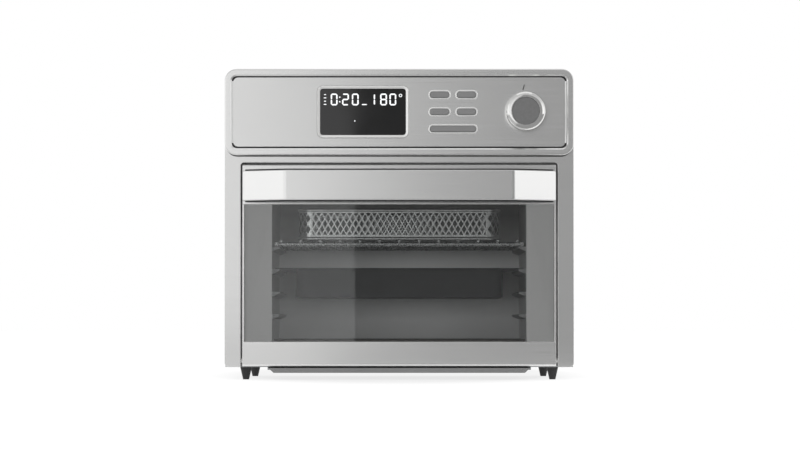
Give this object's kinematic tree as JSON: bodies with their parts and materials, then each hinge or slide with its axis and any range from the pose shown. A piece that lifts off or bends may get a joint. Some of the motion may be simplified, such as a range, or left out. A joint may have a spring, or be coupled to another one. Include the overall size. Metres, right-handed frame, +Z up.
{
  "type": "air fryer oven",
  "caption": "Countertop air fryer oven with a control head, display, push buttons and dial, a drop-down glass door, mesh basket, wire rack, baking tray and convection fan.",
  "frame": {"origin": "on the floor under the middle of the overall width and depth", "axes": "+X to the right seen from the front, +Y to the back, +Z up; the door and controls face -Y"},
  "size_m": [0.4, 0.367, 0.356],
  "materials": {
    "brushed_stainless": "brushed along X, satin",
    "casing_stainless": "brushed, satin",
    "bezel_metal": "fine satin",
    "plated_sheet": "zinc plated, dull",
    "cavity_sheet": "dull rolled sheet",
    "display_black": "glossy black window",
    "display_rim_metal": "bright",
    "button_grey": "satin dark grey",
    "dial_metal": "polished",
    "dial_cap_grey": "fine turned, satin",
    "black_plastic": "matte black",
    "foot_rubber": "matte black",
    "board_green": "satin green",
    "component_grey": "matte dark grey",
    "ceramic": "unglazed ceramic",
    "machined_steel": "turned",
    "heater_sheath": "dark annealed sheath",
    "motor_grey": "painted",
    "fan_metal": "rolled sheet",
    "tinted_glass": "grey tint, polished",
    "clear_glass": "clear, polished",
    "door_liner": "satin grey",
    "chromed_wire": "bright wire",
    "tray_coating": "dark non-stick, satin",
    "crumb_coating": "dark grey, matte"
  },
  "bodies": {
    "oven": {"front_frame": "brushed_stainless", "control_panel": "brushed_stainless", "outer_wrap": "casing_stainless", "back_panel": "casing_stainless", "control_bezel": "bezel_metal", "base_plate": "plated_sheet", "hinge_brackets": "plated_sheet", "tray_runners": "plated_sheet", "motor_bracket": "plated_sheet", "fan_housing": "plated_sheet", "cavity_left": "cavity_sheet", "cavity_right": "cavity_sheet", "cavity_roof": "cavity_sheet", "cavity_back": "cavity_sheet", "oven_face": "cavity_sheet", "fan_guard": "cavity_sheet", "display_window": "display_black", "display_rim": "display_rim_metal", "button_rims": "display_rim_metal", "panel_carrier": "black_plastic", "cord_gland": "black_plastic", "feet": "foot_rubber", "control_board": "board_green", "power_board": "board_green", "display_module": "component_grey", "push_switches": "component_grey", "heater_terminals": "ceramic", "dial_encoder": "machined_steel", "temperature_sensor": "machined_steel", "back_screws": "machined_steel", "ring_heater": "heater_sheath", "rod_heaters": "heater_sheath", "fan_motor": "motor_grey"},
    "door": {"door_top_rail": "brushed_stainless", "door_bottom_rail": "brushed_stainless", "door_side_trims": "brushed_stainless", "door_glass": "tinted_glass", "door_inner_frame": "door_liner", "door_inner_glass": "clear_glass", "door_handle": "brushed_stainless", "handle_liner": "black_plastic", "handle_screws": "machined_steel", "hinge_pins": "machined_steel"},
    "dial": {"dial_knob": "dial_metal", "dial_cap": "dial_cap_grey", "dial_shaft": "machined_steel"},
    "button_top_left": {"button_top_left": "button_grey"},
    "button_top_right": {"button_top_right": "button_grey"},
    "button_middle_left": {"button_middle_left": "button_grey"},
    "button_middle_right": {"button_middle_right": "button_grey"},
    "button_bottom": {"button_bottom": "button_grey"},
    "crumb_tray": {"crumb_tray": "crumb_coating"},
    "rack": {"wire_rack": "chromed_wire", "basket_frame": "chromed_wire", "basket_mesh": "chromed_wire"},
    "tray": {"baking_tray": "tray_coating"},
    "fan": {"convection_fan": "fan_metal", "motor_shaft": "machined_steel", "cooling_fan": "fan_metal"}
  },
  "joints": [
    {"name": "door_hinge", "type": "hinge", "parent": "oven", "child": "door", "pos_m": [0, -0.1455, 0.0226], "axis": [1, 0, 0], "range_deg": [0, 80], "stiffness_Nm_per_rad": 0.6, "springref_deg": -28.65},
    {"name": "rack_slide", "type": "slide", "parent": "oven", "child": "rack", "axis": [0, -1, 0], "range_m": [0, 0.165]},
    {"name": "tray_slide", "type": "slide", "parent": "oven", "child": "tray", "axis": [0, -1, 0], "range_m": [0, 0.096]},
    {"name": "crumb_tray_slide", "type": "slide", "parent": "oven", "child": "crumb_tray", "axis": [0, -1, 0], "range_m": [0, 0.2]},
    {"name": "dial_turn", "type": "hinge", "parent": "oven", "child": "dial", "pos_m": [0.1444, -0.1608, 0.3067], "axis": [0, -1, 0], "continuous": true},
    {"name": "fan_spin", "type": "hinge", "parent": "oven", "child": "fan", "pos_m": [0, 0.00915, 0.25], "axis": [0, 0, 1], "continuous": true},
    {"name": "button_top_left_press", "type": "slide", "parent": "oven", "child": "button_top_left", "axis": [0, 1, 0], "range_m": [0, 0.001], "stiffness_N_per_m": 2000},
    {"name": "button_top_right_press", "type": "slide", "parent": "oven", "child": "button_top_right", "axis": [0, 1, 0], "range_m": [0, 0.001], "stiffness_N_per_m": 2000},
    {"name": "button_middle_left_press", "type": "slide", "parent": "oven", "child": "button_middle_left", "axis": [0, 1, 0], "range_m": [0, 0.001], "stiffness_N_per_m": 2000},
    {"name": "button_middle_right_press", "type": "slide", "parent": "oven", "child": "button_middle_right", "axis": [0, 1, 0], "range_m": [0, 0.001], "stiffness_N_per_m": 2000},
    {"name": "button_bottom_press", "type": "slide", "parent": "oven", "child": "button_bottom", "axis": [0, 1, 0], "range_m": [0, 0.001], "stiffness_N_per_m": 2000}
  ],
  "couplings": [
    {"joint": "rack_slide", "follows": "door_hinge", "m_per_rad": 0.118},
    {"joint": "tray_slide", "follows": "door_hinge", "m_per_rad": 0.068}
  ]
}
